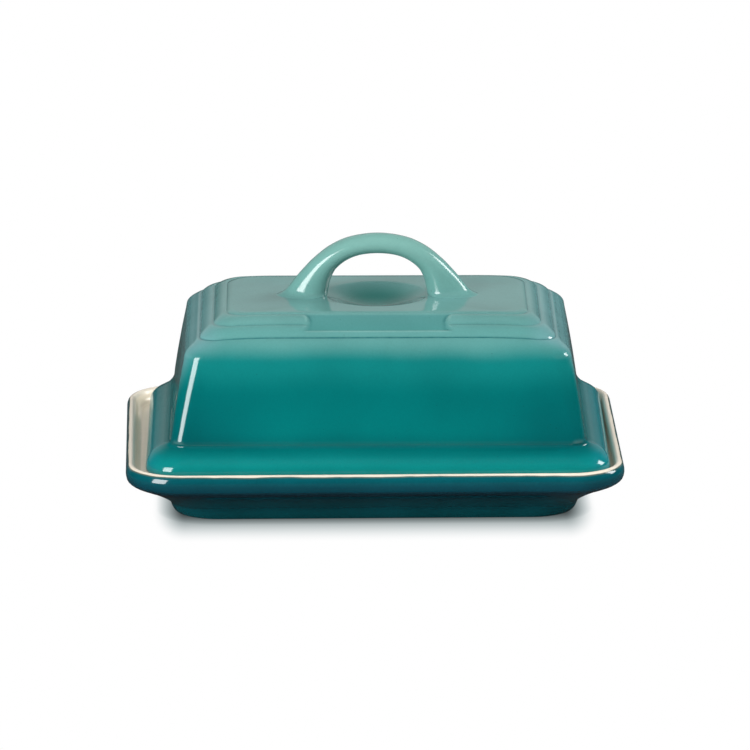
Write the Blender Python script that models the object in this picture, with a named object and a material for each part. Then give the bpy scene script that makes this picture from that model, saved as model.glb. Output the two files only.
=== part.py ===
"""Covered butter dish: a stoneware dish with a raised rim, a lift-off cover and a loop handle.

Metres, +Z up. The origin is at the middle of the foot ring, on the surface that the dish stands on.
+X runs along the dish and -Y is the front. The cover lifts straight up out of its seat in the dish.
"""

import math

import bmesh
import bpy
from mathutils import Matrix

# Dish
DISH_HALF = (0.0855, 0.0635)        # widest line of the rim: half length and half depth
DISH_CORNER = 0.0180                # radius of that line's plan corners
DISH_CORNER_CLOSING = 0.50          # how fast the plan corners tighten towards the middle
UNDERSIDE_CLOSING = 0.20            # the same, below the widest line
RIM_TOP = 0.0197
SEAT_Z = 0.0155                     # ledge that the cover stands on
FLOOR_Z = 0.0055
FOOT_INSET = 0.0170                 # from the widest line in to the outside of the foot ring
FOOT_RING_WIDTH = 0.0040
UNDERSIDE_RECESS = 0.0012

# Cover
SEAT_GAP = 0.0003                   # between the cover and its seat
SKIRT_HALF = (0.0797, 0.0557)       # widest line of the flared skirt
SKIRT_CORNER = 0.0115
SKIRT_Z = 0.0180
SKIRT_THICKNESS = 0.0060
WALL_FOOT_HALF = (0.0712, 0.0488)   # foot of the sloping wall, above the flare
WALL_FOOT_Z = 0.0275
WALL_TOP_HALF = (0.0661, 0.0438)
WALL_TOP_Z = 0.0565
WALL_CORNER = 0.0065
WALL_THICKNESS = 0.0050
STEP_HALF = ((0.0611, 0.0384), (0.0564, 0.0328), (0.0519, 0.0273))
STEP_Z = (0.0621, 0.0650, 0.0673)   # creases of the stepped shoulder, outermost first
STEP_CORNER = 0.0072
STEP_BULGE = 0.0007                 # how far each band between two creases swells
TOP_HALF = (0.0497, 0.0250)
TOP_Z = 0.0680
TOP_CROWN = 0.0013                  # how far the top falls away towards the cover's two ends
CROWN_START = 0.0350                # from the middle to where it starts to fall
CEILING_Z = 0.0630
COVER_TURN = math.radians(-0.8)     # the cover lies a little askew in its loose seat,
COVER_SHIFT = 0.0016                # and a little towards the +X end

# Finger well and blank panel
WELL_RADIUS = 0.0168
WELL_DEPTH = 0.0045
WELL_BOSS_RADIUS = 0.0150           # flat of the boss under the well, inside the cover
WELL_BOSS_Z = 0.0590
PANEL_SIZE = (0.0480, 0.0090)       # length, and width measured down the slope
PANEL_DEPTH = 0.0008
PANEL_BLOCK_HEIGHT = 0.0060          # of the block that cuts it

# Handle
HANDLE_GAP = 0.0003                 # between the handle's feet and the cover
HANDLE_RISE = 0.01775               # centre line, from the feet to the crown
HANDLE_REACH = 0.0234               # centre line, from the middle out to a leg
HANDLE_HALF_HEIGHT = 0.0035         # section at the crown
HANDLE_HALF_DEPTH = 0.0050
HANDLE_FOOT_INNER_X = 0.0172
HANDLE_FOOT_OUTER_X = 0.0345
HANDLE_FOOT_HALF_DEPTH = 0.0068
HANDLE_SHIFT = 0.0003                # the loop stands a little towards the +X end
HANDLE_LEG_SWELL = 0.0005            # how much thicker the legs are than the crown
FLARE_START = math.radians(58)      # where the legs begin to spread, from the crown

CORNER_STEPS = 7                    # segments in each plan corner
ARCH_STEPS = 13                     # stations from the crown to each foot
SECTION_POINTS = 20                 # points round the handle's section


def make_collection(name):
    """Return a new collection linked to the scene."""
    collection = bpy.data.collections.new(name)
    bpy.context.scene.collection.children.link(collection)
    return collection


def make_material(name, colour, roughness):
    """Return a plain glazed material."""
    material = bpy.data.materials.new(name)
    material.use_nodes = True
    shader = material.node_tree.nodes["Principled BSDF"]
    shader.inputs["Base Color"].default_value = (*colour, 1.0)
    shader.inputs["Roughness"].default_value = roughness
    shader.inputs["Metallic"].default_value = 0.0
    return material


def inset(half, distance):
    """Return a half size drawn in by a distance on both axes."""
    return (half[0] - distance, half[1] - distance)


def rounded_rectangle(half, corner, z):
    """Return the points of a level rounded rectangle, counter-clockwise seen from above."""
    points = []
    for quadrant, (side_x, side_y) in enumerate(((1, 1), (-1, 1), (-1, -1), (1, -1))):
        for step in range(CORNER_STEPS + 1):
            angle = math.radians(90) * (quadrant + step / CORNER_STEPS)
            x = side_x * (half[0] - corner) + corner * math.cos(angle)
            y = side_y * (half[1] - corner) + corner * math.sin(angle)
            points.append((x, y, z))
    return points


def circle(radius, z):
    """Return the points of a level circle, matched one to one with a rounded rectangle's."""
    count = 4 * (CORNER_STEPS + 1)
    angles = [math.tau * (index + 0.5) / count for index in range(count)]
    return [(radius * math.cos(angle), radius * math.sin(angle), z) for angle in angles]


def crowned(ring):
    """Return a ring of the cover's top with its two ends let down by the crown."""
    run = STEP_HALF[0][0] - CROWN_START
    return [(x, y, z - TOP_CROWN * (max(abs(x) - CROWN_START, 0.0) / run) ** 2) for x, y, z in ring]


def loft(name, rings, collection, material):
    """Skin a list of rings into one closed body and return its object."""
    mesh = bpy.data.meshes.new(name)
    shape = bmesh.new()
    rows = [[shape.verts.new(point) for point in ring] for ring in rings]
    for lower, upper in zip(rows, rows[1:]):
        for index in range(len(lower)):
            after = (index + 1) % len(lower)
            shape.faces.new((lower[index], lower[after], upper[after], upper[index]))
    shape.faces.new(list(reversed(rows[0])))
    shape.faces.new(rows[-1])
    bmesh.ops.recalc_face_normals(shape, faces=shape.faces)
    shape.to_mesh(mesh)
    shape.free()
    mesh.shade_smooth()
    mesh.set_sharp_from_angle(angle=math.radians(40))
    mesh.materials.append(material)
    piece = bpy.data.objects.new(name, mesh)
    collection.objects.link(piece)
    return piece


def dish_rings():
    """Return the dish's rings, from the recess under it, out over the rim and in to the floor."""
    foot_inner = FOOT_INSET + FOOT_RING_WIDTH
    underside = (
        (foot_inner + 0.0012, UNDERSIDE_RECESS),
        (foot_inner, 0.0),
        (FOOT_INSET, 0.0),
        (FOOT_INSET - 0.0011, 0.0016),
        (FOOT_INSET - 0.0020, 0.0038),
        (FOOT_INSET - 0.0038, 0.0056),
        (FOOT_INSET - 0.0068, 0.0078),
        (FOOT_INSET - 0.0100, 0.0098),
        (FOOT_INSET - 0.0128, 0.0113),
        (FOOT_INSET - 0.0150, 0.0126),
        (FOOT_INSET - 0.0164, 0.0141),
    )
    rim_and_inside = (
        (0.0, 0.0164),
        (0.0003, RIM_TOP - 0.0015),
        (0.0009, RIM_TOP - 0.0006),
        (0.0019, RIM_TOP),
        (0.0028, RIM_TOP - 0.0005),
        (0.0033, RIM_TOP - 0.0018),
        (0.0037, RIM_TOP - 0.0029),
        (0.0043, SEAT_Z + 0.0005),
        (0.0050, SEAT_Z),
        (0.0128, SEAT_Z),
        (0.0143, SEAT_Z - 0.0012),
        (0.0162, SEAT_Z - 0.0045),
        (0.0182, SEAT_Z - 0.0080),
        (0.0200, FLOOR_Z + 0.0005),
        (0.0222, FLOOR_Z),
    )
    rings = []
    for profile, closing in ((underside, UNDERSIDE_CLOSING), (rim_and_inside, DISH_CORNER_CLOSING)):
        for distance, z in profile:
            corner = DISH_CORNER - closing * distance
            rings.append(rounded_rectangle(inset(DISH_HALF, distance), corner, z))
    return rings


def cover_outside():
    """Return the cover's outer rings, from the skirt's lower edge up to the bottom of the well."""
    foot_z = SEAT_Z + SEAT_GAP
    rings = [
        rounded_rectangle(inset(SKIRT_HALF, 0.0016), SKIRT_CORNER - 0.0012, foot_z),
        rounded_rectangle(inset(SKIRT_HALF, 0.0004), SKIRT_CORNER - 0.0003, foot_z + 0.0009),
        rounded_rectangle(SKIRT_HALF, SKIRT_CORNER, SKIRT_Z),
        rounded_rectangle(inset(SKIRT_HALF, 0.0005), SKIRT_CORNER, SKIRT_Z + 0.0025),
        rounded_rectangle(inset(SKIRT_HALF, 0.0021), SKIRT_CORNER + 0.0012, SKIRT_Z + 0.0050),
        rounded_rectangle(inset(SKIRT_HALF, 0.0046), SKIRT_CORNER + 0.0003, SKIRT_Z + 0.0067),
        rounded_rectangle(inset(SKIRT_HALF, 0.0068), SKIRT_CORNER - 0.0019, SKIRT_Z + 0.0079),
        rounded_rectangle(WALL_FOOT_HALF, WALL_CORNER, WALL_FOOT_Z),
        rounded_rectangle(WALL_TOP_HALF, WALL_CORNER, WALL_TOP_Z),
        rounded_rectangle(inset(WALL_TOP_HALF, 0.0014), WALL_CORNER, WALL_TOP_Z + 0.0027),
        rounded_rectangle(inset(WALL_TOP_HALF, 0.0033), WALL_CORNER, WALL_TOP_Z + 0.0046),
    ]
    edges = list(zip(STEP_HALF, STEP_Z)) + [(TOP_HALF, TOP_Z)]
    for (half, z), (next_half, next_z) in zip(edges, edges[1:]):
        rings.append(crowned(rounded_rectangle(half, STEP_CORNER, z)))
        if next_z < TOP_Z:
            for share in (0.25, 0.6):
                band = [a + share * (b - a) for a, b in zip(half, next_half)]
                swell = STEP_BULGE * math.sin(math.pi * share)
                band_z = z + share * (next_z - z) + swell
                rings.append(crowned(rounded_rectangle(band, STEP_CORNER, band_z)))
    rings.append(crowned(rounded_rectangle(TOP_HALF, STEP_CORNER, TOP_Z)))
    for share in (1.0, 0.9, 0.68, 0.36):
        depth = WELL_DEPTH * math.sqrt(1.0 - share ** 2)
        rings.append(circle(WELL_RADIUS * share, TOP_Z - depth))
    return rings


def cover_inside():
    """Return the cover's inner rings, from the boss under the well down to the skirt's lower edge."""
    foot_z = SEAT_Z + SEAT_GAP
    corner = WALL_CORNER - 0.0020
    wall_top = inset(WALL_TOP_HALF, WALL_THICKNESS)
    return [
        circle(WELL_BOSS_RADIUS, WELL_BOSS_Z),
        circle(WELL_BOSS_RADIUS + 0.0050, CEILING_Z),
        rounded_rectangle(inset(wall_top, 0.0135), corner, CEILING_Z),
        rounded_rectangle(inset(wall_top, 0.0060), corner, CEILING_Z - 0.0035),
        rounded_rectangle(inset(wall_top, 0.0018), corner, WALL_TOP_Z),
        rounded_rectangle(wall_top, corner, WALL_TOP_Z - 0.0035),
        rounded_rectangle(inset(WALL_FOOT_HALF, WALL_THICKNESS), corner, WALL_FOOT_Z - 0.0020),
        rounded_rectangle(inset(SKIRT_HALF, SKIRT_THICKNESS + 0.0014), corner, SKIRT_Z),
        rounded_rectangle(inset(SKIRT_HALF, SKIRT_THICKNESS + 0.0002), corner + 0.0010, foot_z),
    ]


def apply_modifiers(piece):
    """Replace the object's mesh with the mesh that its modifiers make."""
    graph = bpy.context.evaluated_depsgraph_get()
    finished = bpy.data.meshes.new_from_object(piece.evaluated_get(graph))
    piece.modifiers.clear()
    piece.data = finished


def cut(piece, cutter):
    """Cut one body out of another."""
    boolean = piece.modifiers.new("cut", "BOOLEAN")
    boolean.operation = "DIFFERENCE"
    boolean.solver = "EXACT"
    boolean.object = cutter


def make_panel_cutter(collection):
    """Return the slanting block that levels the blank panel in the front shoulder."""
    (outer, outer_z), (inner, inner_z) = (STEP_HALF[0], STEP_Z[0]), (STEP_HALF[2], STEP_Z[2])
    slope = math.atan2(inner_z - outer_z, outer[1] - inner[1])
    shape = bmesh.new()
    bmesh.ops.create_cube(shape, size=1.0)
    size = Matrix.Diagonal((PANEL_SIZE[0], PANEL_SIZE[1], PANEL_BLOCK_HEIGHT, 1.0))
    bmesh.ops.transform(shape, matrix=size, verts=shape.verts)
    mesh = bpy.data.meshes.new("panel_cutter")
    shape.to_mesh(mesh)
    shape.free()
    cutter = bpy.data.objects.new("panel_cutter", mesh)
    rise = PANEL_BLOCK_HEIGHT / 2 + STEP_BULGE - PANEL_DEPTH
    half_width = PANEL_SIZE[1] / 2
    cutter.location = (
        0.0,
        -inner[1] - half_width * math.cos(slope) - rise * math.sin(slope),
        inner_z - half_width * math.sin(slope) + rise * math.cos(slope),
    )
    cutter.rotation_euler.x = slope
    cutter.hide_render = True
    cutter.display_type = "WIRE"
    collection.objects.link(cutter)
    return cutter


def handle_ring(turn):
    """Return one section of the handle, at an angle from the crown that is negative on the -X side."""
    flare = max(0.0, (abs(turn) - FLARE_START) / (math.radians(90) - FLARE_START)) ** 2
    foot_reach = (HANDLE_FOOT_INNER_X + HANDLE_FOOT_OUTER_X) / 2
    foot_half = (HANDLE_FOOT_OUTER_X - HANDLE_FOOT_INNER_X) / 2
    reach = HANDLE_REACH + flare * (foot_reach - HANDLE_REACH)
    plain_half = HANDLE_HALF_HEIGHT + HANDLE_LEG_SWELL * math.sin(turn) ** 2
    half_height = plain_half + flare * (foot_half - plain_half)
    half_depth = HANDLE_HALF_DEPTH + flare * (HANDLE_FOOT_HALF_DEPTH - HANDLE_HALF_DEPTH)
    centre_x = HANDLE_SHIFT + reach * math.sin(turn)
    centre_z = HANDLE_RISE * math.cos(turn)
    out_x = math.sin(turn) * HANDLE_RISE
    out_z = math.cos(turn) * HANDLE_REACH
    length = math.hypot(out_x, out_z)
    ring = []
    for index in range(SECTION_POINTS):
        angle = math.tau * index / SECTION_POINTS
        away = half_height * math.cos(angle) / length
        x = centre_x + away * out_x
        z = centre_z + away * out_z
        ring.append((x, half_depth * math.sin(angle), TOP_Z + HANDLE_GAP + z))
    return ring


def make_dish(collection):
    """Make the dish, and return it."""
    teal = make_material("dish_glaze", (0.008, 0.130, 0.145), 0.08)
    return loft("dish", dish_rings(), collection, teal)


def make_cover(collection, cutters, axis):
    """Make the hollow cover with its skirt, stepped shoulder, finger well and blank panel."""
    teal = make_material("cover_glaze", (0.010, 0.200, 0.185), 0.08)
    cover = loft("cover_shell", cover_inside() + cover_outside(), collection, teal)
    cut(cover, make_panel_cutter(cutters))
    bpy.context.view_layer.update()
    apply_modifiers(cover)
    cover.parent = axis


def make_handle(collection, axis):
    """Make the loop handle, which stands across the finger well."""
    teal = make_material("handle_glaze", (0.180, 0.500, 0.460), 0.10)
    quarter = math.radians(90)
    stations = [quarter * step / ARCH_STEPS for step in range(-ARCH_STEPS, ARCH_STEPS + 1)]
    handle = loft("handle", [handle_ring(turn) for turn in stations], collection, teal)
    handle.parent = axis
    return handle


def main():
    """Clear the scene and build the covered butter dish."""
    for old in list(bpy.data.objects):
        bpy.data.objects.remove(old, do_unlink=True)
    parts = make_collection("butter_dish")
    cutters = make_collection("cutters")
    make_dish(parts)
    axis = bpy.data.objects.new("cover_lift_axis", None)
    axis.location.x = COVER_SHIFT
    axis.rotation_euler.z = COVER_TURN
    parts.objects.link(axis)
    make_cover(parts, cutters, axis)
    make_handle(parts, axis)


main()
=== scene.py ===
import math

import bmesh
import bpy
import numpy as np
from mathutils import Matrix, Vector


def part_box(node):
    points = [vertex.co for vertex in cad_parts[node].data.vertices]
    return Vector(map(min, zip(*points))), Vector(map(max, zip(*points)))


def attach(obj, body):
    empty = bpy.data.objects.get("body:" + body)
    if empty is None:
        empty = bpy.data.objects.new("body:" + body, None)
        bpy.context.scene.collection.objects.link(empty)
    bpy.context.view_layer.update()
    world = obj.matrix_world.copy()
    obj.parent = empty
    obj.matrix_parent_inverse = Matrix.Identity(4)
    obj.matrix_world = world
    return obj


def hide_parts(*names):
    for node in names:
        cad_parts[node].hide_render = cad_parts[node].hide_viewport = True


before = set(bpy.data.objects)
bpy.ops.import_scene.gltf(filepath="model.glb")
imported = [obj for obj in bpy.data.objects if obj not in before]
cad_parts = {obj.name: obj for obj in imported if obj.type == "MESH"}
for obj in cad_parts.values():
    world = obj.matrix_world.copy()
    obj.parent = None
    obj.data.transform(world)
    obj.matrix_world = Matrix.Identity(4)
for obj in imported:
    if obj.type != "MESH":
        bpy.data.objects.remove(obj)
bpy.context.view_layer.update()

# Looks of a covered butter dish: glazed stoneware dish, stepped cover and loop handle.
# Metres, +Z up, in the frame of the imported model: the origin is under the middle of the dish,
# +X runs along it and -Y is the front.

# Places and sizes taken from the frame
DISH_LOW, DISH_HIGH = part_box("dish")
COVER_LOW, COVER_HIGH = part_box("cover_shell")
HANDLE_LOW, HANDLE_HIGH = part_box("handle")
DISH_HALF = (DISH_HIGH[0], DISH_HIGH[1])
RIM_TOP = DISH_HIGH[2]
TOP_Z = COVER_HIGH[2]                       # flat of the cover's top
COVER_FOOT_Z = COVER_LOW[2]
COVER_X = (COVER_LOW[0] + COVER_HIGH[0]) / 2
COVER_TURN = math.radians(-0.8)             # the cover lies a little askew in its seat
HANDLE_RISE = HANDLE_HIGH[2] - TOP_Z        # outside of the handle's crown above the cover's top

# Dish
DISH_CORNER = 0.0180
CORNER_CLOSING = 0.50                       # how fast its plan corners tighten towards the middle
UNDERSIDE_CLOSING = 0.20                    # the same, below the widest line
SEAT_Z = 0.0155
FLOOR_Z = 0.0055
FOOT_INSET = 0.0170
FOOT_RING_WIDTH = 0.0040

# Cover
SKIRT_HALF = (0.0797, 0.0557)
SKIRT_CORNER = 0.0115
SKIRT_Z = 0.0180
SKIRT_THICKNESS = 0.0060
WALL_FOOT_HALF = (0.0712, 0.0488)
WALL_FOOT_Z = 0.0275
WALL_TOP_HALF = (0.0661, 0.0438)
WALL_TOP_Z = 0.0565
WALL_FOOT_CORNER = 0.0050
WALL_CORNER = 0.0066
WALL_THICKNESS = 0.0050
WALL_BULGE = 0.00025
WALL_SHARES = (0.12, 0.35, 0.65, 0.9)       # heights up the wall at which its bulge is followed
STEP_HALF = ((0.0611, 0.0384), (0.0564, 0.0328), (0.0519, 0.0273))
STEP_Z = (0.0621, 0.0650, 0.0673)
STEP_CORNER = 0.0072
STEP_BULGE = 0.0009
BEAD_STEPS = 14
TOP_EDGE_STEPS = 7
BEAD_FULLNESS = 0.60
GROOVE_DEPTH = 0.00035                      # of the crease under the lowest bead
TOP_HALF = (0.0497, 0.0250)
TOP_EDGE_EASE = 1.5                         # above 1, the top's edge rises more gently from its crease
TOP_CROWN = 0.0013
CROWN_START = 0.0350
CEILING_Z = 0.0630
WELL_RADIUS = 0.0182
WELL_DEPTH = 0.0046
WELL_EASE = 1.30                            # above 1, the well's brim is rounded over
WELL_BOSS_RADIUS = 0.0150
WELL_BOSS_Z = 0.0590
PANEL_HALF_LENGTH = 0.0236
PANEL_ROUND = 0.0032                        # how far the ribs' round ends draw back at their edges
PANEL_END = 0.80                            # lower edge of the panel, from the top crease to the first
PANEL_SINK = 0.0001
PANEL_EDGE = 0.0004                         # half the width of the bend at its ends

# Handle
HANDLE_SHIFT = 0.0003                       # it stands a little towards the +X end
HANDLE_BAR = 0.0046                         # half the thickness of its round bar
WEB_THINNING = 0.30                         # how much thinner the outer side is where the feet spread

# Fineness of the meshes
SIDE_X_STEPS = 150
SIDE_Y_STEPS = 60
CORNER_STEPS = 14
SPLINE_STEPS = 5
WELL_STEPS = 33
HANDLE_STEPS = 9
HANDLE_POINTS = 56
WELD = 0.000002                             # points closer than this become one
EDGE_SPREADS = 3                            # how often the mark of an edge is averaged outward
EDGE_REACH = 0.0012                         # radius of a bend that is marked in full


# ---------------------------------------------------------------- shapes

def spline(points, steps):
    """Return a smooth line through the points. A point that is given twice is a corner."""
    points = [np.array(point, float) for point in points]
    stretches = [[points[0]]]
    for point in points[1:]:
        if np.allclose(point, stretches[-1][-1]):
            stretches.append([point])
        else:
            stretches[-1].append(point)
    line = [points[0]]
    for stretch in stretches:
        ends = [2 * stretch[0] - stretch[1]] + stretch + [2 * stretch[-1] - stretch[-2]]
        for before, here, there, after in zip(ends, ends[1:], ends[2:], ends[3:]):
            for step in range(1, steps + 1):
                t = step / steps
                pull = (there - before) * t
                bend = (2 * before - 5 * here + 4 * there - after) * t ** 2
                turn = (3 * here - before - 3 * there + after) * t ** 3
                line.append(here + 0.5 * (pull + bend + turn))
    return line


def smooth_step(low, high, value):
    """Return 0 below low, 1 above high, and a smooth change between."""
    share = np.clip((value - low) / (high - low), 0.0, 1.0)
    return share * share * (3.0 - 2.0 * share)


def outline(half_x, half_y, corner):
    """Return a level rounded rectangle as an array of x and y, counter-clockwise from above."""
    points = []
    sides = (
        (1, 1, SIDE_X_STEPS), (-1, 1, SIDE_Y_STEPS), (-1, -1, SIDE_X_STEPS), (1, -1, SIDE_Y_STEPS),
    )
    for quadrant, (side_x, side_y, side_steps) in enumerate(sides):
        centre = np.array((side_x * (half_x - corner), side_y * (half_y - corner)))
        for step in range(CORNER_STEPS + 1):
            angle = math.radians(90) * (quadrant + step / CORNER_STEPS)
            points.append(centre + corner * np.array((math.cos(angle), math.sin(angle))))
        next_x, next_y, _ = sides[(quadrant + 1) % 4]
        next_centre = np.array((next_x * (half_x - corner), next_y * (half_y - corner)))
        here, there = points[-1], next_centre + (points[-1] - centre)
        for step in range(1, side_steps):
            points.append(here + (there - here) * step / side_steps)
    return np.array(points)


def level_ring(half_x, half_y, corner, z):
    """Return a level rounded rectangle as an array of x, y and z."""
    flat = outline(half_x, half_y, corner)
    return np.column_stack((flat, np.full(len(flat), z)))


def round_ring(radius, z):
    """Return a level circle whose points face those of the cover's top edge."""
    edge = outline(*TOP_HALF, STEP_CORNER)
    angles = np.arctan2(edge[:, 1], edge[:, 0])
    return np.column_stack((radius * np.cos(angles), radius * np.sin(angles), np.full(len(edge), z)))


def store(mesh, name, values):
    """Store one value for each point of the mesh under a name that the glazes read."""
    attribute = mesh.attributes.new(name, "FLOAT", "POINT")
    attribute.data.foreach_set("value", values.astype(np.float32))


def skin(name, rings, labels):
    """Skin rings into a closed mesh object.

    labels maps the name of a vertex attribute to one value for each ring.
    """
    count = len(rings[0])
    points = np.concatenate(rings)
    faces = []
    for row in range(len(rings) - 1):
        start = row * count
        for index in range(count):
            after = (index + 1) % count
            faces.append((start + index, start + after, start + count + after, start + count + index))
    low, high = len(points), len(points) + 1
    points = np.vstack((points, rings[0].mean(axis=0), rings[-1].mean(axis=0)))
    last = (len(rings) - 1) * count
    for index in range(count):
        after = (index + 1) % count
        faces.append((low, after, index))
        faces.append((high, last + index, last + after))
    mesh = bpy.data.meshes.new(name)
    mesh.from_pydata(points.tolist(), [], faces)
    for label, values in labels.items():
        store(mesh, label, np.concatenate((np.repeat(values, count), [values[0], values[-1]])))
    welded = bmesh.new()
    welded.from_mesh(mesh)
    bmesh.ops.remove_doubles(welded, verts=welded.verts, dist=WELD)
    bmesh.ops.recalc_face_normals(welded, faces=welded.faces)
    welded.to_mesh(mesh)
    welded.free()
    mesh.shade_smooth()
    piece = bpy.data.objects.new(name, mesh)
    bpy.context.scene.collection.objects.link(piece)
    return piece


def mark_edges(piece):
    """Store how convex (above 0) or hollow (below 0) the surface is at each point, as "edge"."""
    mesh = piece.data
    count = len(mesh.vertices)
    places = np.empty(count * 3)
    mesh.vertices.foreach_get("co", places)
    places = places.reshape(-1, 3)
    normals = np.empty(count * 3)
    mesh.vertices.foreach_get("normal", normals)
    normals = normals.reshape(-1, 3)
    pairs = np.empty(len(mesh.edges) * 2, dtype=int)
    mesh.edges.foreach_get("vertices", pairs)
    first, second = pairs.reshape(-1, 2).T
    gap = places[second] - places[first]
    length = np.maximum(np.linalg.norm(gap, axis=1), 1e-7)
    bend = np.einsum("ij,ij->i", normals[second] - normals[first], gap) / length ** 2
    total, weight = np.zeros(count), np.zeros(count)
    for end in (first, second):
        np.add.at(total, end, bend * length)
        np.add.at(weight, end, length)
    curve = np.clip(total / np.maximum(weight, 1e-9) * EDGE_REACH, -1.5, 1.5)
    for _ in range(EDGE_SPREADS):
        total = np.zeros(count)
        np.add.at(total, first, curve[second] / length)
        np.add.at(total, second, curve[first] / length)
        share = np.zeros(count)
        np.add.at(share, first, 1.0 / length)
        np.add.at(share, second, 1.0 / length)
        curve = 0.5 * (curve + total / np.maximum(share, 1e-9))
    store(mesh, "edge", curve)


def crowned(ring, amount=TOP_CROWN):
    """Return a ring of the cover's top with its two ends let down by the crown."""
    run = STEP_HALF[0][0] - CROWN_START
    share = np.maximum(np.abs(ring[:, 0]) - CROWN_START, 0.0) / run
    ring = ring.copy()
    ring[:, 2] -= amount * share ** 2
    return ring


# ---------------------------------------------------------------- dish

def make_dish():
    """Make the dish: foot ring, sloping underside, round lip, ledge for the cover and shallow well."""
    foot_inner = FOOT_INSET + FOOT_RING_WIDTH
    profile = [
        (foot_inner + 0.0060, 0.0012), (foot_inner + 0.0012, 0.0011), (foot_inner + 0.0004, 0.0004),
        (foot_inner - 0.0004, 0.0), (foot_inner - 0.0004, 0.0),
        (FOOT_INSET + 0.0005, 0.0), (FOOT_INSET - 0.0004, 0.0004), (FOOT_INSET - 0.0012, 0.0018),
        (FOOT_INSET - 0.0020, 0.0038), (FOOT_INSET - 0.0038, 0.0056), (FOOT_INSET - 0.0068, 0.0078),
        (FOOT_INSET - 0.0100, 0.0098), (FOOT_INSET - 0.0128, 0.0113), (FOOT_INSET - 0.0150, 0.0126),
        (FOOT_INSET - 0.0164, 0.0140), (0.0001, 0.0156), (0.0, 0.0170), (0.0003, RIM_TOP - 0.0015),
        (0.0009, RIM_TOP - 0.0005), (0.0019, RIM_TOP), (0.0028, RIM_TOP - 0.0005),
        (0.0033, RIM_TOP - 0.0016), (0.0037, RIM_TOP - 0.0029), (0.0043, SEAT_Z + 0.0005),
        (0.0052, SEAT_Z), (0.0064, SEAT_Z + 0.0001), (0.0122, SEAT_Z), (0.0143, SEAT_Z - 0.0012),
        (0.0162, SEAT_Z - 0.0045), (0.0182, SEAT_Z - 0.0080), (0.0200, FLOOR_Z + 0.0007),
        (0.0226, FLOOR_Z), (0.0300, FLOOR_Z),
    ]
    line = spline(profile, SPLINE_STEPS)
    gaps = [np.linalg.norm(there - here) for here, there in zip(line, line[1:])]
    lengths = np.concatenate(([0.0], np.cumsum(gaps)))
    crest = int(np.argmax([z for _, z in line]))
    widest = int(np.argmin([distance for distance, _ in line]))
    rings, bare = [], []
    for index, (distance, z) in enumerate(line):
        half = (DISH_HALF[0] - distance, DISH_HALF[1] - distance)
        corner = DISH_CORNER - (CORNER_CLOSING if index > widest else UNDERSIDE_CLOSING) * distance
        rings.append(level_ring(*half, corner, z))
        on_foot = FOOT_INSET + 0.0006 < distance < foot_inner + 0.0004
        bare.append(1.0 - smooth_step(0.0001, 0.0004, z) if on_foot else 0.0)
    labels = {"past_crest": lengths - lengths[crest], "bare": np.array(bare)}
    dish = skin("dish_glazed", rings, labels)
    mark_edges(dish)
    return dish


# ---------------------------------------------------------------- cover

def shoulder_rings():
    """Return the rings of the stepped shoulder, from the outermost crease to the top's edge."""
    rings = []
    creases = list(zip(STEP_HALF, STEP_Z))
    for (half, z), (next_half, next_z) in zip(creases, creases[1:]):
        for share in np.linspace(0.0, 1.0, BEAD_STEPS + 1)[:-1]:
            band = [a + share * (b - a) for a, b in zip(half, next_half)]
            swell = STEP_BULGE * math.sin(math.pi * share) ** BEAD_FULLNESS
            rings.append(crowned(level_ring(*band, STEP_CORNER, z + share * (next_z - z) + swell)))
    for share in np.linspace(0.0, 1.0, TOP_EDGE_STEPS + 1):
        draw = 1.0 - math.cos(math.radians(90) * share)
        rise = math.sin(math.radians(90) * share) ** TOP_EDGE_EASE
        band = [a + draw * (b - a) for a, b in zip(STEP_HALF[-1], TOP_HALF)]
        z = STEP_Z[-1] + rise * (TOP_Z - STEP_Z[-1])
        rings.append(crowned(level_ring(*band, STEP_CORNER, z)))
    return rings


def panel_share(points):
    """Return how far each point lies in the panel, and how far down the shoulder it is."""
    outer_y, inner_y = STEP_HALF[0][1], STEP_HALF[2][1]
    down = (-points[:, 1] - inner_y) / (outer_y - inner_y)
    lean = np.clip((down - PANEL_END / 2) / (PANEL_END / 2 + 0.04), -1.0, 1.0)
    reach = PANEL_HALF_LENGTH + PANEL_ROUND * (1.0 - np.sqrt(1.0 - lean ** 2))
    inside = 1.0 - smooth_step(-PANEL_EDGE, PANEL_EDGE, np.abs(points[:, 0]) - reach)
    inside *= smooth_step(-0.02, 0.05, down)
    return inside * (1.0 - smooth_step(PANEL_END - 0.05, PANEL_END + 0.03, down)), down


def level_panel(ring):
    """Sink the middle of the front shoulder to a blank panel, between ribs with round ends."""
    inside, down = panel_share(ring)
    plane = STEP_Z[2] + down * (STEP_Z[0] - STEP_Z[2]) - PANEL_SINK
    ring = ring.copy()
    ring[:, 2] = np.where(ring[:, 1] < 0, ring[:, 2] + inside * (plane - ring[:, 2]), ring[:, 2])
    return ring


def mark_panel(cover):
    """Store where the panel is, as "sunk"."""
    mesh = cover.data
    places = np.empty(len(mesh.vertices) * 3)
    mesh.vertices.foreach_get("co", places)
    places = places.reshape(-1, 3)
    inside, _ = panel_share(places)
    inside *= places[:, 2] > WALL_TOP_Z
    store(mesh, "sunk", inside)


def top_rings():
    """Return the rings from the top's edge in to the bottom of the smooth finger well."""
    edge = crowned(level_ring(*TOP_HALF, STEP_CORNER, TOP_Z))
    brim = round_ring(WELL_RADIUS, TOP_Z)
    rings = [edge + (brim - edge) * share for share in np.linspace(0.0, 1.0, 12)[1:]]
    for share in np.linspace(1.0, 0.03, WELL_STEPS + 1)[1:]:
        depth = WELL_DEPTH * (1.0 - share ** 2) ** WELL_EASE
        rings.append(round_ring(WELL_RADIUS * share, TOP_Z - depth))
    return rings


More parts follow.
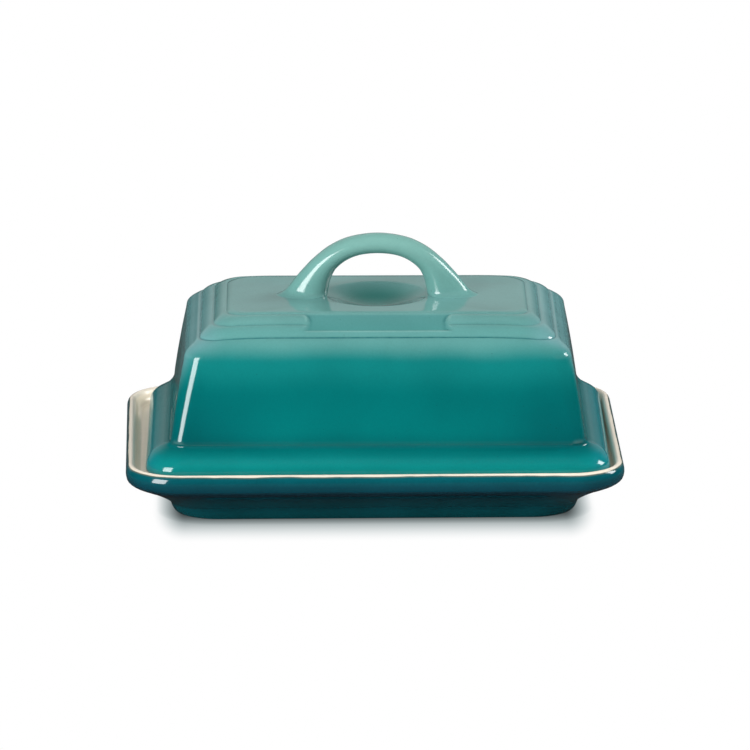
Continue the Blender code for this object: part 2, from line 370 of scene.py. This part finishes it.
def make_cover():
    """Make the hollow cover, square to the frame and centred."""
    ceiling = (WALL_TOP_HALF[0] - WALL_THICKNESS, WALL_TOP_HALF[1] - WALL_THICKNESS)
    inner_corner = WALL_FOOT_CORNER - 0.0010
    inside_profile = [
        (ceiling[0] - 0.0135, ceiling[1] - 0.0135, inner_corner, CEILING_Z),
        (ceiling[0] - 0.0060, ceiling[1] - 0.0060, inner_corner, CEILING_Z - 0.0033),
        (ceiling[0] - 0.0018, ceiling[1] - 0.0018, inner_corner, WALL_TOP_Z),
        (ceiling[0], ceiling[1], inner_corner, WALL_TOP_Z - 0.0035),
        (WALL_FOOT_HALF[0] - WALL_THICKNESS, WALL_FOOT_HALF[1] - WALL_THICKNESS, inner_corner,
         WALL_FOOT_Z - 0.0020),
        (SKIRT_HALF[0] - SKIRT_THICKNESS - 0.0014, SKIRT_HALF[1] - SKIRT_THICKNESS - 0.0014,
         inner_corner + 0.0005, SKIRT_Z),
        (SKIRT_HALF[0] - SKIRT_THICKNESS, SKIRT_HALF[1] - SKIRT_THICKNESS, inner_corner + 0.0010,
         COVER_FOOT_Z + 0.0006),
    ]
    rise = SKIRT_Z - COVER_FOOT_Z
    skirt_profile = [
        (0.0050, -0.0030, 0.0), (0.0024, -0.0016, 0.0), (0.0012, -0.0009, 0.0004),
        (0.0003, -0.0003, 0.0012), (0.0, 0.0, rise), (0.0005, 0.0, rise + 0.0025),
        (0.0021, 0.0010, rise + 0.0050), (0.0046, -0.0004, rise + 0.0067),
        (0.0068, -0.0034, rise + 0.0079),
    ]
    outside_profile = [
        (SKIRT_HALF[0] - distance, SKIRT_HALF[1] - distance, SKIRT_CORNER + wider, COVER_FOOT_Z + up)
        for distance, wider, up in skirt_profile
    ]
    wall = [(*WALL_FOOT_HALF, WALL_FOOT_CORNER, WALL_FOOT_Z)]
    for share in WALL_SHARES:
        half = [a + share * (b - a) + WALL_BULGE * math.sin(math.pi * share)
                for a, b in zip(WALL_FOOT_HALF, WALL_TOP_HALF)]
        corner = WALL_FOOT_CORNER + share * (WALL_CORNER - WALL_FOOT_CORNER)
        wall.append((*half, corner, WALL_FOOT_Z + share * (WALL_TOP_Z - WALL_FOOT_Z)))
    wall += [
        (*WALL_TOP_HALF, WALL_CORNER, WALL_TOP_Z),
        (WALL_TOP_HALF[0] - 0.0014, WALL_TOP_HALF[1] - 0.0014, WALL_CORNER, WALL_TOP_Z + 0.0027),
        (WALL_TOP_HALF[0] - 0.0031, WALL_TOP_HALF[1] - 0.0030, WALL_CORNER, WALL_TOP_Z + 0.0044),
        (STEP_HALF[0][0] + 0.0010, STEP_HALF[0][1] + 0.0010, STEP_CORNER, STEP_Z[0] - 0.0004),
        (STEP_HALF[0][0] + 0.0004, STEP_HALF[0][1] + 0.0004, STEP_CORNER, STEP_Z[0] - 0.0003),
        (*STEP_HALF[0], STEP_CORNER, STEP_Z[0] - GROOVE_DEPTH),
    ]
    rings = [round_ring(0.004, WELL_BOSS_Z)]
    boss = [(WELL_BOSS_RADIUS - 0.003, WELL_BOSS_Z), (WELL_BOSS_RADIUS, WELL_BOSS_Z + 0.0002),
            (WELL_BOSS_RADIUS + 0.0045, CEILING_Z - 0.0004), (WELL_BOSS_RADIUS + 0.0070, CEILING_Z)]
    rings += [round_ring(radius, z) for radius, z in spline(boss, 4)]
    inner = [level_ring(*values) for values in spline(inside_profile, SPLINE_STEPS)]
    rings += [rings[-1] + (inner[0] - rings[-1]) * share for share in (0.33, 0.66)]
    rings += inner
    inner_count = len(rings)
    for values in spline(outside_profile + wall, SPLINE_STEPS)[:-1]:
        share = float(smooth_step(WALL_TOP_Z - 0.001, STEP_Z[0], values[3]))
        rings.append(crowned(level_ring(*values), TOP_CROWN * share))
    rings += [level_panel(ring) for ring in shoulder_rings()]
    rings += top_rings()
    inside = np.zeros(len(rings))
    inside[:inner_count] = 1.0
    low = np.array([TOP_Z - ring[:, 2].mean() for ring in rings])
    # how deep each ring of the finger well lies, for the painted shade in it
    well = np.zeros(len(rings))
    well[-WELL_STEPS:] = low[-WELL_STEPS:] / WELL_DEPTH
    cover = skin("cover_glazed", rings, {"inside": inside, "well": well})
    mark_edges(cover)
    mark_panel(cover)
    return cover


# ---------------------------------------------------------------- handle

def section_depth(half_length, half_depth, angles):
    """Return the depths round a section: round at its inner side, thinner towards its outer side."""
    spread = smooth_step(0.0, 0.5, 1.0 - min(1.0, HANDLE_BAR / half_length))
    thinning = 1.0 - WEB_THINNING * spread * (0.5 + 0.5 * np.cos(angles)) ** 1.5
    return half_depth * np.sin(angles) * thinning


def make_handle():
    """Make the loop handle, whose legs spread into the cover's top."""
    # outside and inside of the arch from the crown to a foot, as x and height, and half its depth
    stations = [
        (0.0, 0.0213, 0.0, 0.0144, 0.0049),
        (0.0096, 0.0200, 0.0060, 0.0138, 0.0049),
        (0.0166, 0.0169, 0.0106, 0.0120, 0.0049),
        (0.0222, 0.0125, 0.0143, 0.0090, 0.0049),
        (0.0258, 0.0088, 0.0161, 0.0056, 0.0050),
        (0.0284, 0.0058, 0.0167, 0.0032, 0.0052),
        (0.0302, 0.0034, 0.0170, 0.0017, 0.0055),
        (0.0316, 0.0018, 0.0171, 0.0010, 0.0059),
        (0.0329, 0.0008, 0.0172, 0.0005, 0.0066),
        (0.0341, 0.0002, 0.0173, 0.0001, 0.0075),
        (0.0352, -0.0003, 0.0174, -0.0003, 0.0086),
    ]
    stretch = HANDLE_RISE / stations[0][1]
    mirrored = [(-a, b, -c, d, e) for a, b, c, d, e in reversed(stations[1:])]
    angles = np.linspace(0.0, math.tau, HANDLE_POINTS, endpoint=False)
    rings = []
    for out_x, out_z, in_x, in_z, half_depth in spline(mirrored + stations, HANDLE_STEPS):
        centre = np.array(((out_x + in_x) / 2, 0.0, (out_z + in_z) / 2 * stretch))
        away = np.array(((out_x - in_x) / 2, 0.0, (out_z - in_z) / 2 * stretch))
        ring = centre + np.outer(np.cos(angles), away)
        ring[:, 1] = section_depth(np.linalg.norm(away), half_depth, angles)
        ring += np.array((HANDLE_SHIFT, 0.0, TOP_Z))
        rings.append(ring)
    handle = skin("handle_glazed", rings, {})
    mark_edges(handle)
    return handle


def lay_in_seat(piece):
    """Turn and shift a piece of the cover to where the cover lies, keeping its origin in place."""
    turn = Matrix.Rotation(COVER_TURN, 4, "Z")
    piece.data.transform(Matrix.Translation((COVER_X, 0.0, 0.0)) @ turn)
    return piece


# ---------------------------------------------------------------- glazes

GLAZE_IOR = 1.65                            # a glossy stoneware glaze
GLAZE_RIPPLE = 0.00005                      # height of its fine unevenness
TEAL_ROUGHNESS = 0.10
CREAM_ROUGHNESS = 0.22
CLAY_ROUGHNESS = 0.75
HANDLE_ROUGHNESS = 0.14
COLOUR_LINE = (-0.00125, -0.00095)          # where teal gives way to cream, along the lip from its crest
SEAM_OUTER = (-0.0018, -0.0012)             # fade of the thin line there, on its outer and inner side
SEAM_INNER = (-0.0007, -0.0011)
LIP_FADE = (0.0024, 0.0010)                 # greyer cream over the lip, as far in from its crest
GUTTER_FADE = (0.0100, 0.0070)              # warmer cream as far as the cover's foot
LOW_WALL_Z = 0.0235                         # below this the wall gets no painted end shade and is as light as the skirt
END_SHADE_FROM, FRONT_SHADE_FROM = 0.40, 0.85   # where the painted shade towards the wall's ends begins, as shares of its size
END_FACE_FROM = 0.88                        # the ends' faces stop here towards the front and back
END_FACE_LOW_Z, END_FACE_HIGH_Z = 0.0380, 0.0600    # between these heights the painted light on them fades in upward


def tint(red, green, blue):
    """Return a linear colour for 8-bit sRGB values."""
    channels = [value / 255 for value in (red, green, blue)]
    return [c / 12.92 if c <= 0.04045 else ((c + 0.055) / 1.055) ** 2.4 for c in channels] + [1.0]


class Glaze:
    """A material being put together, with short ways to add its nodes."""

    def __init__(self, name):
        self.material = bpy.data.materials.new(name)
        self.material.use_nodes = True
        self.nodes = self.material.node_tree.nodes
        self.links = self.material.node_tree.links
        self.shader = self.nodes["Principled BSDF"]
        self.place = self.nodes.new("ShaderNodeTexCoord").outputs["Object"]
        split = self.nodes.new("ShaderNodeSeparateXYZ")
        self.links.new(self.place, split.inputs[0])
        self.along, self.across, self.height = split.outputs

    def plug(self, value, socket):
        """Link an output to a socket, or set a constant on it."""
        if isinstance(value, bpy.types.NodeSocket):
            self.links.new(value, socket)
        else:
            socket.default_value = value

    def math(self, operation, first, second=0.0):
        """Return the result of a sum, product or other operation."""
        node = self.nodes.new("ShaderNodeMath")
        node.operation = operation
        for value, socket in zip((first, second), node.inputs):
            self.plug(value, socket)
        return node.outputs[0]

    def span(self, value, low, high, out_low=0.0, out_high=1.0):
        """Return a smooth change from out_low to out_high as the value goes from low to high."""
        node = self.nodes.new("ShaderNodeMapRange")
        node.interpolation_type = "SMOOTHSTEP"
        for given, name in zip((value, low, high, out_low, out_high),
                               ("Value", "From Min", "From Max", "To Min", "To Max")):
            self.plug(given, node.inputs[name])
        return node.outputs["Result"]

    def noise(self, scale, detail, stretch=(1.0, 1.0, 1.0)):
        """Return soft noise, from 0 to 1, that is fixed to the object."""
        mapping = self.nodes.new("ShaderNodeMapping")
        mapping.inputs["Scale"].default_value = stretch
        self.links.new(self.place, mapping.inputs["Vector"])
        node = self.nodes.new("ShaderNodeTexNoise")
        node.inputs["Scale"].default_value = scale
        node.inputs["Detail"].default_value = detail
        self.links.new(mapping.outputs[0], node.inputs["Vector"])
        return node.outputs["Fac"]

    def specks(self, scale, size):
        """Return 1 on small scattered specks and 0 elsewhere."""
        cells = self.nodes.new("ShaderNodeTexVoronoi")
        cells.inputs["Scale"].default_value = scale
        self.links.new(self.place, cells.inputs["Vector"])
        keep = self.math("GREATER_THAN", self.noise(scale * 0.23, 1.0), 0.58)
        return self.math("MULTIPLY", self.span(cells.outputs["Distance"], size, size * 0.5), keep)

    def mix(self, share, first, second, blend="MIX"):
        """Return the first colour, changed by the share towards the second."""
        node = self.nodes.new("ShaderNodeMix")
        node.data_type = "RGBA"
        node.blend_type = blend
        self.plug(share, node.inputs[0])
        self.plug(first, node.inputs[6])
        self.plug(second, node.inputs[7])
        return node.outputs[2]

    def stored(self, name):
        """Return a value that was stored at the points of the mesh."""
        node = self.nodes.new("ShaderNodeAttribute")
        node.attribute_name = name
        return node.outputs["Fac"]

    def ramp(self, value, low, high, stops):
        """Return a colour that goes through the stops, each a height and its colour."""
        share = self.math("DIVIDE", self.math("SUBTRACT", value, low), high - low)
        node = self.nodes.new("ShaderNodeValToRGB")
        node.color_ramp.interpolation = "EASE"
        elements = node.color_ramp.elements
        while len(elements) < len(stops):
            elements.new(0.5)
        for element, (height, colour) in zip(elements, stops):
            element.position = (height - low) / (high - low)
            element.color = colour
        self.links.new(share, node.inputs["Fac"])
        return node.outputs["Color"]

    def finish(self, colour, roughness):
        """Set the glaze's colour, its gloss and its fine unevenness."""
        self.plug(colour, self.shader.inputs["Base Color"])
        self.plug(roughness, self.shader.inputs["Roughness"])
        self.shader.inputs["IOR"].default_value = GLAZE_IOR
        self.shader.inputs["Specular IOR Level"].default_value = 0.5
        bump = self.nodes.new("ShaderNodeBump")
        bump.inputs["Strength"].default_value = 1.0
        bump.inputs["Distance"].default_value = GLAZE_RIPPLE
        waves = self.noise(150.0, 1.0)
        fine = self.math("MULTIPLY", self.noise(700.0, 1.0), 0.12)
        self.links.new(self.math("ADD", waves, fine), bump.inputs["Height"])
        self.links.new(bump.outputs[0], self.shader.inputs["Normal"])
        return self.material


def broken_and_shaded(glaze, colour, thin_and_lit, pooled_and_shaded, pooling_and_shade=0.75):
    """Lighten convex edges and darken hollows: partly the glaze breaking thin and pooling, partly painted
    highlight and painted shade.
    """
    edge = glaze.stored("edge")
    uneven = glaze.span(glaze.noise(320.0, 3.0), 0.3, 0.7, 0.75, 1.15)
    on_edge = glaze.math("MULTIPLY", glaze.span(edge, 0.12, 0.60, 0.0, 0.50), uneven)
    in_hollow = glaze.math("MULTIPLY", glaze.span(edge, -0.06, -0.45, 0.0, pooling_and_shade), uneven)
    lighter = glaze.mix(on_edge, colour, thin_and_lit)
    return glaze.mix(in_hollow, lighter, pooled_and_shaded)


def mottled(glaze, colour, amount):
    """Give the colour slow clouds, fine grain and a few darker iron specks."""
    clouds = glaze.span(glaze.noise(38.0, 4.0), 0.3, 0.7, 1.0 - amount, 1.0 + amount)
    grain = glaze.span(glaze.noise(1500.0, 3.0), 0.3, 0.7, 1.0 - amount * 0.5, 1.0 + amount * 0.5)
    both = glaze.math("MULTIPLY", clouds, grain)
    shade = glaze.nodes.new("ShaderNodeCombineColor")
    for channel in shade.inputs:
        glaze.links.new(both, channel)
    colour = glaze.mix(1.0, colour, shade.outputs[0], "MULTIPLY")
    return glaze.mix(glaze.math("MULTIPLY", glaze.specks(420.0, 0.10), 0.35), colour, tint(20, 40, 44))


def cream(glaze):
    """Return the cream glaze's colour: warm, with tan in its hollows that is partly pooled glaze and
    partly painted shade, and a few brown specks.
    """
    clouds = glaze.span(glaze.noise(60.0, 4.0), 0.3, 0.7)
    colour = glaze.mix(clouds, tint(247, 240, 227), tint(241, 232, 215))
    colour = broken_and_shaded(glaze, colour, tint(252, 246, 234), tint(214, 194, 154))
    return glaze.mix(glaze.math("MULTIPLY", glaze.specks(500.0, 0.12), 0.4), colour, tint(120, 96, 70))


def dish_material():
    """Navy-teal glaze outside with painted shade under the lip, cream over the lip and inside, bare clay
    on the foot's face.
    """
    glaze = Glaze("dish_glaze")
    # Painted shade: the teal is darkest on the lip's underside, in the shade of its overhang.
    teal = glaze.ramp(glaze.height, 0.0, RIM_TOP, [
        (0.0, tint(6, 70, 76)), (0.0060, tint(6, 66, 74)), (0.0122, tint(4, 36, 48)),
        (0.0142, tint(3, 60, 72)), (RIM_TOP, tint(3, 86, 94))])
    teal = mottled(glaze, broken_and_shaded(glaze, teal, tint(30, 120, 126), tint(6, 26, 34)), 0.10)
    wander = glaze.span(glaze.noise(55.0, 3.0, (1.0, 1.0, 0.0)), 0.3, 0.7, -0.0002, 0.0002)
    inward = glaze.math("ADD", glaze.stored("past_crest"), wander)
    inside = glaze.span(inward, *COLOUR_LINE)
    seam = glaze.math("MULTIPLY", glaze.span(inward, *SEAM_OUTER), glaze.span(inward, *SEAM_INNER))
    teal = glaze.mix(glaze.math("MULTIPLY", seam, 0.5), teal, tint(122, 118, 92))
    on_lip = glaze.span(inward, *LIP_FADE, 0.0, 0.6)
    in_gutter = glaze.span(inward, *GUTTER_FADE, 0.0, 0.8)
    pale = glaze.mix(in_gutter, cream(glaze), tint(255, 238, 212))
    colour = glaze.mix(inside, teal, glaze.mix(on_lip, pale, tint(214, 208, 196)))
    glazed = glaze.span(inside, 0.2, 0.8, TEAL_ROUGHNESS, CREAM_ROUGHNESS)
    bare = glaze.stored("bare")
    colour = glaze.mix(bare, colour, tint(196, 180, 156))
    return glaze.finish(colour, glaze.span(bare, 0.2, 0.8, glazed, CLAY_ROUGHNESS))


def cover_material():
    """Teal glaze, pale on the shoulder and deep down the walls, with painted light and shade. Cream
    inside.
    """
    glaze = Glaze("cover_glaze")
    wander = glaze.span(glaze.noise(20.0, 3.0), 0.3, 0.7, -0.0008, 0.0008)
    height = glaze.math("ADD", glaze.height, wander)
    teal = glaze.ramp(height, COVER_FOOT_Z, TOP_Z, [
        (COVER_FOOT_Z, tint(8, 126, 126)), (0.0205, tint(8, 129, 127)),
        (0.0265, tint(0, 102, 102)), (0.0320, tint(0, 110, 109)), (0.0430, tint(0, 105, 104)),
        (0.0540, tint(12, 119, 117)), (0.0620, tint(90, 149, 145)), (TOP_Z, tint(99, 149, 145))])
    # Painted shade: the wall darkens towards its ends and round their corners.
    end, side = glaze.math("ABSOLUTE", glaze.along), glaze.math("ABSOLUTE", glaze.across)
    half_x, half_y = WALL_TOP_HALF
    painted_end_shade = glaze.math("MULTIPLY", glaze.span(end, END_SHADE_FROM * half_x, half_x),
                            glaze.span(side, FRONT_SHADE_FROM * half_y, half_y))
    on_wall = glaze.math("MULTIPLY", glaze.span(height, WALL_TOP_Z, WALL_FOOT_Z),
                         glaze.span(height, LOW_WALL_Z, WALL_FOOT_Z))
    painted_end_shade = glaze.math("MULTIPLY", painted_end_shade, on_wall)
    teal = glaze.mix(glaze.math("MULTIPLY", painted_end_shade, 0.70), teal, tint(0, 80, 84))
    past_wall = glaze.span(end, WALL_FOOT_HALF[0], SKIRT_HALF[0], 0.0, 0.7)
    teal = glaze.mix(past_wall, teal, tint(12, 122, 132))
    teal = glaze.mix(glaze.math("MULTIPLY", glaze.stored("sunk"), 0.45), teal, tint(56, 128, 127))
    # Painted shade: the finger well darkens with its depth.
    teal = glaze.mix(glaze.span(glaze.stored("well"), 0.0, 0.8, 0.0, 0.80), teal, tint(26, 100, 92))
    # Painted light: the ends' faces turn paler blue-grey, more so higher up.
    lit_end_face = glaze.math("MULTIPLY", glaze.span(end, TOP_HALF[0], STEP_HALF[0][0]),
                          glaze.span(side, half_y, END_FACE_FROM * half_y, 0.0, 0.6))
    lit_end_face = glaze.math("MULTIPLY", lit_end_face, glaze.span(height, END_FACE_LOW_Z, END_FACE_HIGH_Z))
    teal = glaze.mix(lit_end_face, teal, tint(116, 164, 168))
    # Painted crease shade together with glaze pooling, stronger down the shoulder.
    pooling_and_shade = glaze.span(height, STEP_Z[1], STEP_Z[2], 0.85, 0.25)
    teal = mottled(glaze, broken_and_shaded(glaze, teal, tint(168, 204, 198), tint(10, 92, 98), pooling_and_shade), 0.05)
    inside = glaze.stored("inside")
    colour = glaze.mix(glaze.span(inside, 0.3, 0.7), teal, cream(glaze))
    return glaze.finish(colour, TEAL_ROUGHNESS)


def handle_material():
    """The palest teal, a touch deeper where the legs spread into the cover."""
    glaze = Glaze("handle_glaze")
    wander = glaze.span(glaze.noise(60.0, 3.0), 0.3, 0.7, -0.0010, 0.0010)
    height = glaze.math("ADD", glaze.height, wander)
    teal = glaze.ramp(height, TOP_Z - 0.001, TOP_Z + HANDLE_RISE, [
        (TOP_Z - 0.001, tint(99, 149, 145)), (TOP_Z + 0.0040, tint(106, 158, 152)),
        (TOP_Z + HANDLE_RISE, tint(118, 167, 159))])
    teal = mottled(glaze, broken_and_shaded(glaze, teal, tint(170, 210, 202), tint(60, 128, 128)), 0.04)
    return glaze.finish(teal, HANDLE_ROUGHNESS)


# ---------------------------------------------------------------- studio

CAMERA_AZIMUTH = math.radians(-1.45)
CAMERA_ELEVATION = math.radians(14.5)
CAMERA_DISTANCE = 2.7
AIM_RIGHT, AIM_UP = 0.00105, 0.03756        # point looked at, from the origin along the view's axes
VIEW_WIDTH = 0.2618                         # width seen at that point
FLOOR_SIZE = 14.0
FLOOR_MIRRORED = tint(70, 70, 70)           # the floor as the glazes mirror it
FLOOR_BOUNCE = tint(225, 225, 225)          # the floor as it lights the object
# The floor's shadow is painted into its emission, from the distance to the foot and from ambient
# occlusion.
SHADE_REACH, SHADE_CONTACT = 0.006, 0.50    # tight shade where something touches the floor
SHADE_ROUND = 0.012                         # rounding of the soft shadow's corners
SHADE_START, SHADE_END = -0.004, 0.042      # the soft shadow's fade, from inside the foot's outline
SHADE_END_WEIGHT = 3.5
SHADE_TINGE = (0.82, 1.0, 1.02, 1.0)        # teal tinge of the painted shadow
SENSOR_WIDTH = 36.0                         # of the camera, in mm
FAR_CLIP = 60.0
ROOM_FRONT, ROOM_BACK = 0.02, 0.42          # room before and behind the object, as it is mirrored
ROOM_TURN = 0.55                            # how far back it begins to lighten, from 0 beside to 1 behind
ROOM_LOW, ROOM_LOW_TOP = 0.15, 0.25         # how dark it is at the floor, and how high this reaches
ROOM_FILL = 0.30                            # the room as a source of light


def make_camera():
    """Make the camera at the viewing angle and set it as the scene's."""
    turn, tilt = CAMERA_AZIMUTH, CAMERA_ELEVATION
    back = Vector((math.sin(turn) * math.cos(tilt), -math.cos(turn) * math.cos(tilt), math.sin(tilt)))
    right = Vector((math.cos(turn), math.sin(turn), 0.0))
    up = back.cross(right)
    camera = bpy.data.objects.new("camera", bpy.data.cameras.new("camera"))
    camera.data.sensor_width = SENSOR_WIDTH
    camera.data.lens = SENSOR_WIDTH * CAMERA_DISTANCE / VIEW_WIDTH
    camera.data.clip_end = FAR_CLIP
    axes = Matrix((right, up, back)).transposed().to_4x4()
    place = right * AIM_RIGHT + up * AIM_UP + back * CAMERA_DISTANCE
    camera.matrix_world = Matrix.Translation(place) @ axes
    bpy.context.scene.collection.objects.link(camera)
    bpy.context.scene.camera = camera


def soft_light(name, azimuth, elevation, distance, size, power, mirrored=True):
    """Place a rectangular light at angles in degrees, facing the middle of the object."""
    turn, tilt = math.radians(azimuth), math.radians(elevation)
    away = Vector((math.sin(turn) * math.cos(tilt), -math.cos(turn) * math.cos(tilt), math.sin(tilt)))
    middle = Vector((0.0, 0.0, (DISH_LOW[2] + HANDLE_HIGH[2]) / 2))
    data = bpy.data.lights.new(name, "AREA")
    data.shape = "RECTANGLE"
    data.size, data.size_y = size
    data.energy = power
    light = bpy.data.objects.new(name, data)
    light.location = middle + away * distance
    light.rotation_euler = away.to_track_quat("Z", "Y").to_euler()
    light.visible_glossy = mirrored
    bpy.context.scene.collection.objects.link(light)


def distance_from_foot(nodes, links):
    """Return an output for how far a point of the floor is from the dish's foot.

    Distances towards the dish's ends count for more, so the shadow stays in front and behind.
    """
    place = nodes.new("ShaderNodeTexCoord")
    split = nodes.new("ShaderNodeSeparateXYZ")
    links.new(place.outputs["Object"], split.inputs[0])
    gaps = []
    for axis, half, weight in (("X", DISH_HALF[0], SHADE_END_WEIGHT), ("Y", DISH_HALF[1], 1.0)):
        size = nodes.new("ShaderNodeMath")
        size.operation = "ABSOLUTE"
        links.new(split.outputs[axis], size.inputs[0])
        gap = nodes.new("ShaderNodeMath")
        gap.operation = "SUBTRACT"
        gap.inputs[1].default_value = half - FOOT_INSET - SHADE_ROUND / weight
        links.new(size.outputs[0], gap.inputs[0])
        kept = nodes.new("ShaderNodeMath")
        kept.operation = "MAXIMUM"
        kept.inputs[1].default_value = 0.0
        links.new(gap.outputs[0], kept.inputs[0])
        scaled = nodes.new("ShaderNodeMath")
        scaled.operation = "MULTIPLY"
        scaled.inputs[1].default_value = weight
        links.new(kept.outputs[0], scaled.inputs[0])
        gaps.append(scaled.outputs[0])
    both = nodes.new("ShaderNodeCombineXYZ")
    links.new(gaps[0], both.inputs["X"])
    links.new(gaps[1], both.inputs["Y"])
    length = nodes.new("ShaderNodeVectorMath")
    length.operation = "LENGTH"
    links.new(both.outputs[0], length.inputs[0])
    return length.outputs["Value"]


def make_floor():
    """Lay a large floor that the camera sees as white paper, with a painted shadow near the dish's foot.
    """
    mesh = bpy.data.meshes.new("floor")
    half = FLOOR_SIZE / 2
    corners = [(-half, -half, 0.0), (half, -half, 0.0), (half, half, 0.0), (-half, half, 0.0)]
    mesh.from_pydata(corners, [], [(0, 1, 2, 3)])
    floor = bpy.data.objects.new("floor", mesh)
    floor.location.z = DISH_LOW[2] - 0.0001
    bpy.context.scene.collection.objects.link(floor)
    paper = bpy.data.materials.new("paper")
    paper.use_nodes = True
    nodes, links = paper.node_tree.nodes, paper.node_tree.links
    shade = nodes.new("ShaderNodeAmbientOcclusion")
    shade.samples = 16
    shade.inputs["Distance"].default_value = SHADE_REACH
    close = nodes.new("ShaderNodeMapRange")
    close.inputs["To Min"].default_value = SHADE_CONTACT
    links.new(shade.outputs["AO"], close.inputs["Value"])
    away = distance_from_foot(nodes, links)
    soft = nodes.new("ShaderNodeMapRange")
    soft.interpolation_type = "SMOOTHSTEP"
    soft.inputs["From Min"].default_value = SHADE_START
    soft.inputs["From Max"].default_value = SHADE_END
    links.new(away, soft.inputs["Value"])
    level = nodes.new("ShaderNodeMath")
    level.operation = "MULTIPLY"
    links.new(close.outputs["Result"], level.inputs[0])
    links.new(soft.outputs["Result"], level.inputs[1])
    seen = nodes.new("ShaderNodeEmission")
    tinge = nodes.new("ShaderNodeMix")
    tinge.data_type = "RGBA"
    tinge.inputs[6].default_value = SHADE_TINGE
    tinge.inputs[7].default_value = (1.0, 1.0, 1.0, 1.0)
    links.new(level.outputs[0], tinge.inputs[0])
    links.new(tinge.outputs[2], seen.inputs["Color"])
    links.new(level.outputs[0], seen.inputs["Strength"])
    path = nodes.new("ShaderNodeLightPath")
    bounce = nodes.new("ShaderNodeMix")
    bounce.data_type = "RGBA"
    bounce.inputs[6].default_value = FLOOR_MIRRORED
    bounce.inputs[7].default_value = FLOOR_BOUNCE
    links.new(path.outputs["Is Diffuse Ray"], bounce.inputs[0])
    unseen = nodes.new("ShaderNodeBsdfDiffuse")
    links.new(bounce.outputs[2], unseen.inputs["Color"])
    choice = nodes.new("ShaderNodeMixShader")
    links.new(path.outputs["Is Camera Ray"], choice.inputs[0])
    links.new(unseen.outputs[0], choice.inputs[1])
    links.new(seen.outputs[0], choice.inputs[2])
    links.new(choice.outputs[0], nodes["Material Output"].inputs["Surface"])
    mesh.materials.append(paper)


def make_world():
    """White to the eye. As a source of light it is dark in front and soft grey behind."""
    world = bpy.data.worlds.new("studio")
    world.use_nodes = True
    nodes, links = world.node_tree.nodes, world.node_tree.links
    direction = nodes.new("ShaderNodeTexCoord")
    split = nodes.new("ShaderNodeSeparateXYZ")
    links.new(direction.outputs["Generated"], split.inputs[0])
    backward = nodes.new("ShaderNodeMapRange")
    backward.interpolation_type = "SMOOTHSTEP"
    for name, value in (("From Min", ROOM_TURN), ("From Max", 1.0),
                        ("To Min", ROOM_FRONT), ("To Max", ROOM_BACK)):
        backward.inputs[name].default_value = value
    links.new(split.outputs["Y"], backward.inputs["Value"])
    upward = nodes.new("ShaderNodeMapRange")
    upward.interpolation_type = "SMOOTHSTEP"
    for name, value in (("From Min", 0.0), ("From Max", ROOM_LOW_TOP),
                        ("To Min", ROOM_LOW), ("To Max", 1.0)):
        upward.inputs[name].default_value = value
    links.new(split.outputs["Z"], upward.inputs["Value"])
    mirrored = nodes.new("ShaderNodeMath")
    mirrored.operation = "MULTIPLY"
    links.new(backward.outputs["Result"], mirrored.inputs[0])
    links.new(upward.outputs["Result"], mirrored.inputs[1])
    path = nodes.new("ShaderNodeLightPath")
    light = nodes.new("ShaderNodeMix")
    light.inputs["B"].default_value = ROOM_FILL
    links.new(path.outputs["Is Diffuse Ray"], light.inputs["Factor"])
    links.new(mirrored.outputs[0], light.inputs["A"])
    strength = nodes.new("ShaderNodeMix")
    strength.inputs["B"].default_value = 1.0
    links.new(path.outputs["Is Camera Ray"], strength.inputs["Factor"])
    links.new(light.outputs["Result"], strength.inputs["A"])
    background = nodes["Background"]
    background.inputs["Color"].default_value = (1.0, 1.0, 1.0, 1.0)
    links.new(strength.outputs["Result"], background.inputs["Strength"])
    bpy.context.scene.world = world


def make_studio():
    """Set up the floor, the lights, the camera and the view transform."""
    make_floor()
    make_world()
    make_camera()
    soft_light("tall_softbox", -44.5, 15, 1.6, (0.80, 1.15), 26)
    soft_light("side_softbox", 105, 28, 1.6, (0.50, 0.60), 8)
    soft_light("side_fill", 100, 32, 1.6, (1.0, 1.0), 13, mirrored=False)
    soft_light("overhead_fill", 8, 60, 1.8, (1.6, 1.2), 11, mirrored=False)
    bpy.context.scene.view_settings.view_transform = "Standard"


# ---------------------------------------------------------------- build

def main():
    """Build the pieces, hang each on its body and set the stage."""
    dish = make_dish()
    cover = lay_in_seat(make_cover())
    handle = lay_in_seat(make_handle())
    dish.data.materials.append(dish_material())
    cover.data.materials.append(cover_material())
    handle.data.materials.append(handle_material())
    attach(dish, "dish_body")
    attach(cover, "cover_body")
    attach(handle, "cover_body")
    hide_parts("dish")
    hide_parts("cover_shell")
    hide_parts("handle")
    make_studio()


main()
